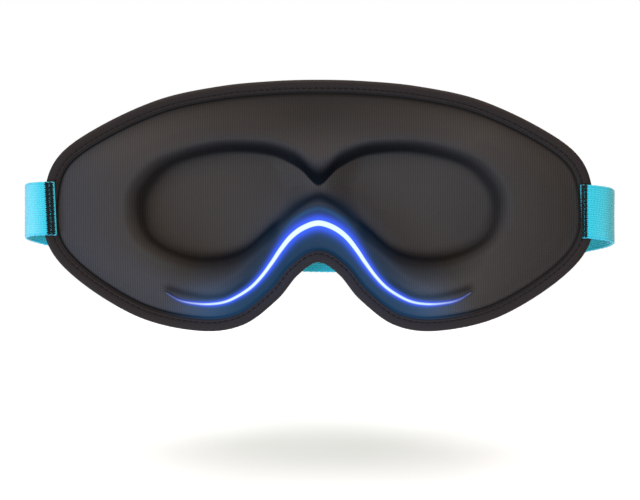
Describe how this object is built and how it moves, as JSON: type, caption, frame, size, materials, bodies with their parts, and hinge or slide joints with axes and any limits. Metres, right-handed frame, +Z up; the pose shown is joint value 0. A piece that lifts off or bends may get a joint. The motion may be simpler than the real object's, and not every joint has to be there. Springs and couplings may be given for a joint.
{
  "type": "eye massager mask",
  "caption": "Contoured soft eye mask with a heated, vibrating massage unit, nose light guide, control pod and adjustable elastic strap.",
  "frame": {"origin": "centre of the nose bridge at the level of the wearer's eyes, in the plane of the body's edge", "axes": "+X across the mask towards the ring end of the strap, +Y away from the wearer's face, +Z up"},
  "size_m": [0.2548, 0.0346, 0.109],
  "materials": {
    "lining_fabric": "fine ribbed knit, matt",
    "memory_foam": "open-cell foam",
    "foam_sheet": "closed-cell foam sheet",
    "cover_fabric": "smooth brushed knit",
    "binding_tape": "woven tape with a lockstitch",
    "strap_elastic": "woven elastic",
    "thread": "polyester thread",
    "light_guide": "clear silicone, lit blue",
    "dark_plastic": "fine moulded texture",
    "silicone": "matt silicone",
    "steel": "plated",
    "heating_film": "polyimide film with a printed track",
    "lead_ribbon": "flat ribbon lead",
    "circuit_board": "solder mask",
    "led": "clear resin",
    "battery_wrap": "foil pouch"
  },
  "bodies": {
    "mask_body": {"face_lining": "lining_fabric", "inner_foam": "memory_foam", "outer_foam": "foam_sheet", "outer_cover": "cover_fabric", "edge_binding": "binding_tape", "strap_left": "strap_elastic", "strap_right": "strap_elastic", "strap_return": "strap_elastic", "bar_tack_left_outer": "thread", "bar_tack_left_inner": "thread", "bar_tack_right": "thread", "ring_bar_tack": "thread", "light_guide": "light_guide", "pod_cover": "dark_plastic", "pod_base": "dark_plastic", "motor_case_left": "dark_plastic", "motor_case_right": "dark_plastic", "strap_ring": "dark_plastic", "temperature_sensor": "dark_plastic", "motor_sleeve_left": "silicone", "motor_sleeve_right": "silicone", "motor_left": "steel", "motor_right": "steel", "charging_socket": "steel", "pod_screw_1": "steel", "pod_screw_2": "steel", "pod_screw_3": "steel", "pod_screw_4": "steel", "heat_switch": "steel", "massage_switch": "steel", "heating_film_left": "heating_film", "heating_film_right": "heating_film", "heater_lead_left": "lead_ribbon", "heater_lead_right": "lead_ribbon", "motor_lead_left": "lead_ribbon", "motor_lead_right": "lead_ribbon", "led_lead": "lead_ribbon", "circuit_board": "circuit_board", "led_board": "circuit_board", "led_left": "led", "led_right": "led", "status_led": "led", "status_lens": "led", "battery": "battery_wrap"},
    "heat_button": {"heat_button": "silicone"},
    "massage_button": {"massage_button": "silicone"},
    "port_cover": {"port_cover": "silicone"},
    "slider": {"strap_slider": "dark_plastic", "strap_end_loop": "strap_elastic"},
    "weight_left": {"motor_weight_left": "steel"},
    "weight_right": {"motor_weight_right": "steel"}
  },
  "joints": [
    {"name": "heat_button_press", "type": "slide", "parent": "mask_body", "child": "heat_button", "axis": [0, -1, 0], "range_m": [0, 0.0006], "stiffness_N_per_m": 400},
    {"name": "massage_button_press", "type": "slide", "parent": "mask_body", "child": "massage_button", "axis": [0, -1, 0], "range_m": [0, 0.0006], "stiffness_N_per_m": 400},
    {"name": "port_cover_swing", "type": "hinge", "parent": "mask_body", "child": "port_cover", "pos_m": [-0.0319, 0.009, 0.034], "axis": [0, 0, 1], "range_deg": [0, 80]},
    {"name": "strap_slider_slide", "type": "slide", "parent": "mask_body", "child": "slider", "axis": [0.9977, 0, 0.068], "range_m": [0, 0.03], "deforming": ["strap_return"]},
    {"name": "motor_spin_left", "type": "hinge", "parent": "mask_body", "child": "weight_left", "pos_m": [-0.086, -0.0066, 0], "axis": [0, 0, 1], "continuous": true},
    {"name": "motor_spin_right", "type": "hinge", "parent": "mask_body", "child": "weight_right", "pos_m": [0.086, -0.0066, 0], "axis": [0, 0, 1], "continuous": true}
  ]
}
